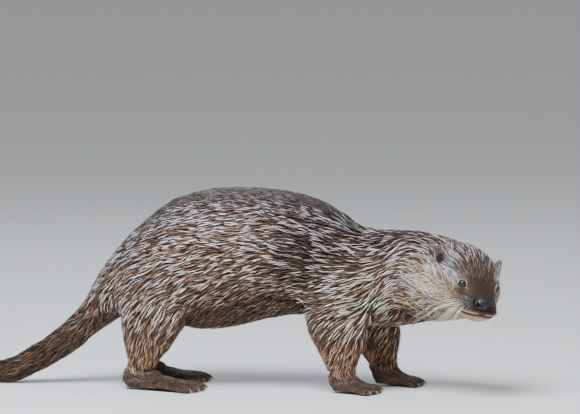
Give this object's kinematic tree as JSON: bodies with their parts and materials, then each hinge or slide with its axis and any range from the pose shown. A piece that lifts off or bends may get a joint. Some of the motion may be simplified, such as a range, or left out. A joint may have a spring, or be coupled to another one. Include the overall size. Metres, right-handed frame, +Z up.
{
  "type": "eurasian otter figure",
  "caption": "Life-size still model of a Eurasian otter on all fours: back arched, head low and turned to its right, mouth closed, tail laid out behind",
  "frame": {"origin": "on the ground under the middle of the whole animal's box", "axes": "+X towards the shoulders, +Y the animal's left, +Z up; the feet and the end of the tail rest on z = 0"},
  "size_m": [0.9544, 0.2408, 0.3065],
  "materials": {
    "fur": "dense wet fur, brown above, paler under the throat and belly, lying in pointed locks",
    "nose_leather": "moist dark hairless skin, finely grained",
    "eye": "glossy dark brown eyeball",
    "claw": "satin horn, short and blunt"
  },
  "bodies": {
    "root": {"head": "fur", "jaw": "fur", "ear_right": "fur", "ear_left": "fur", "neck": "fur", "trunk": "fur", "tail_root": "fur", "tail_end": "fur", "foreleg_right": "fur", "foreleg_left": "fur", "hindleg_right": "fur", "hindleg_left": "fur", "forefoot_right": "fur", "forefoot_left": "fur", "hindfoot_right": "fur", "hindfoot_left": "fur", "nose": "nose_leather", "eye_right": "eye", "eye_left": "eye", "claw_fore_right_1": "claw", "claw_fore_right_2": "claw", "claw_fore_right_3": "claw", "claw_fore_right_4": "claw", "claw_fore_right_5": "claw", "claw_fore_left_1": "claw", "claw_fore_left_2": "claw", "claw_fore_left_3": "claw", "claw_fore_left_4": "claw", "claw_fore_left_5": "claw", "claw_hind_right_1": "claw", "claw_hind_right_2": "claw", "claw_hind_right_3": "claw", "claw_hind_right_4": "claw", "claw_hind_right_5": "claw", "claw_hind_left_1": "claw", "claw_hind_left_2": "claw", "claw_hind_left_3": "claw", "claw_hind_left_4": "claw", "claw_hind_left_5": "claw"}
  },
  "joints": []
}
